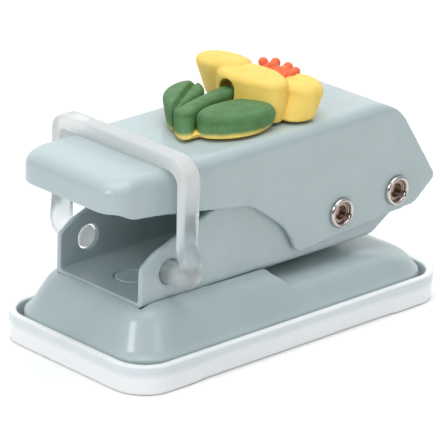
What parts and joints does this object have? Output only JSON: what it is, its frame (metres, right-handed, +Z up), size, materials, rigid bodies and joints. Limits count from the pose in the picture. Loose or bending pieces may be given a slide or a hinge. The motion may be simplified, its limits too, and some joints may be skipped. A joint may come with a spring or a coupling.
{
  "type": "craft punch",
  "caption": "Small lever hole punch for paper crafts, with a channel frame, a domed base, a chad tray, a lock bail and a flower charm.",
  "frame": {"origin": "centre of the tray's underside, which rests on the table", "axes": "+X towards the pivot end where paper goes in, +Z up, and the handle's nose at -X"},
  "size_m": [0.0886, 0.044, 0.0521],
  "materials": {
    "tray_plastic": "frosted translucent plastic",
    "bail_plastic": "frosted translucent plastic",
    "paint": "satin powder coat in a pale grey teal",
    "handle_paint": "satin powder coat in a pale grey teal",
    "rivet_paint": "satin powder coat in a pale grey teal",
    "nickel": "bright nickel plate",
    "hard_steel": "ground hardened steel",
    "spring_steel": "drawn spring wire",
    "petal_yellow": "matt soft moulding",
    "leaf_green": "matt soft moulding",
    "stamen_orange": "matt soft moulding"
  },
  "bodies": {
    "tray": {"chad_tray": "tray_plastic"},
    "base": {"base_plate": "paint", "die_ring": "hard_steel", "lower_frame": "paint", "frame_rivet_front": "rivet_paint", "frame_rivet_rear": "rivet_paint", "punch_guide": "nickel", "pivot_sleeve": "nickel", "return_spring": "spring_steel"},
    "handle": {"handle": "handle_paint", "pivot_rivet": "nickel", "drive_rivet": "nickel", "flower_petals": "petal_yellow", "flower_stamens": "stamen_orange", "flower_stem": "leaf_green", "leaf_left": "leaf_green", "leaf_right": "leaf_green", "charm_backing": "petal_yellow"},
    "punch": {"punch_pin": "hard_steel"},
    "bail": {"lock_bail": "bail_plastic"}
  },
  "joints": [
    {"name": "tray_release", "type": "slide", "parent": "tray", "child": "base", "axis": [0, 0, 1], "range_m": [0, 0.015]},
    {"name": "handle_hinge", "type": "hinge", "parent": "base", "child": "handle", "pos_m": [0.0339, 0, 0.0233], "axis": [0, -1, 0], "range_deg": [0, 9], "stiffness_Nm_per_rad": 0.6, "springref_deg": -5.73, "deforming": ["return_spring"]},
    {"name": "punch_slide", "type": "slide", "parent": "base", "child": "punch", "axis": [0, 0, -1], "range_m": [0, 0.0026]},
    {"name": "bail_hinge", "type": "hinge", "parent": "base", "child": "bail", "pos_m": [-0.0273, 0, 0.02015], "axis": [0, -1, 0], "range_deg": [0, 61]}
  ],
  "couplings": [
    {"joint": "punch_slide", "follows": "handle_hinge", "m_per_rad": 0.016},
    {"joint": "bail_hinge", "follows": "handle_hinge", "ratio": 6.667}
  ]
}
